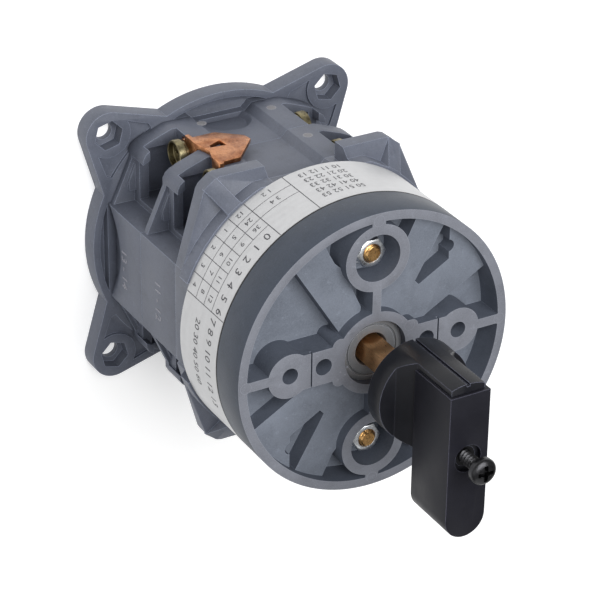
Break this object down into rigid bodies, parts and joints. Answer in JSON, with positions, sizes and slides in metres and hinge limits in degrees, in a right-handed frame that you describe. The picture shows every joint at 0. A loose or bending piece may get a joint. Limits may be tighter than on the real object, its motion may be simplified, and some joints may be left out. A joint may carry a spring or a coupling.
{
  "type": "rotary changeover switch",
  "caption": "Rotary changeover switch with stacked contact decks, a round front housing and a bar grip knob on a square shaft.",
  "frame": {"origin": "centre of the back plate's rear face, which is the centre of the bounding box's bottom", "axes": "+Z along the shaft towards the knob, +Y towards the upper tie stud, +X to the right from the front"},
  "size_m": [0.0896, 0.0896, 0.156],
  "materials": {
    "housing": "moulded blue-grey thermoset, fine grain",
    "cover": "moulded blue-grey thermoset, satin",
    "bushing": "moulded grey plastic, satin",
    "label": "silver-white label foil with a plain printed grid",
    "seal": "black rubber",
    "brass": "turned brass",
    "shaft": "drawn brass, slightly tarnished",
    "zinc": "bright zinc plate",
    "copper": "bare copper",
    "rotor": "brown moulded phenolic",
    "detent": "black nylon",
    "knob": "black plastic, satin",
    "grip": "black plastic, satin",
    "black_screw": "black oxide"
  },
  "bodies": {
    "switch": {"back_plate": "housing", "rear_deck": "housing", "front_deck": "housing", "front_frame": "housing", "bearing_plate": "housing", "label_band": "label", "seal_ring": "seal", "front_cover": "cover", "shaft_bushing": "bushing", "tie_stud_top": "brass", "tie_stud_bottom": "brass", "rear_nut_top": "zinc", "rear_nut_bottom": "zinc", "washer_top": "zinc", "washer_bottom": "zinc", "spring_washer_top": "zinc", "spring_washer_bottom": "zinc", "front_nut_top": "zinc", "front_nut_bottom": "zinc", "rear_contact_ul": "copper", "rear_contact_ur": "copper", "rear_contact_ll": "copper", "rear_contact_lr": "copper", "front_contact_ul": "copper", "front_contact_ur": "copper", "front_contact_ll": "copper", "front_contact_lr": "copper", "rear_screw_ul": "brass", "rear_screw_ur": "brass", "rear_screw_ll": "brass", "rear_screw_lr": "brass", "front_screw_ul": "brass", "front_screw_ur": "brass", "front_screw_ll": "brass", "front_screw_lr": "brass", "copper_link": "copper", "detent_spring_top": "zinc", "detent_spring_bottom": "zinc"},
    "spindle": {"shaft": "shaft", "rear_rotor": "rotor", "front_rotor": "rotor", "rear_rotor_cap": "rotor", "front_rotor_cap": "rotor", "rear_blade": "copper", "front_blade": "copper", "detent_star": "detent", "knob_hub": "knob", "grip_sleeve": "grip", "knob_insert": "black_screw"},
    "screw": {"knob_screw": "black_screw"}
  },
  "joints": [
    {"name": "knob_turn", "type": "hinge", "parent": "switch", "child": "spindle", "pos_m": [0, 0, 0.0985], "axis": [0, 0, 1], "range_deg": [-60, 60], "deforming": ["detent_spring_top", "detent_spring_bottom"]},
    {"name": "knob_screw_travel", "type": "slide", "parent": "spindle", "child": "screw", "axis": [0, 0, 1], "range_m": [-0.0072, 0.005]}
  ]
}
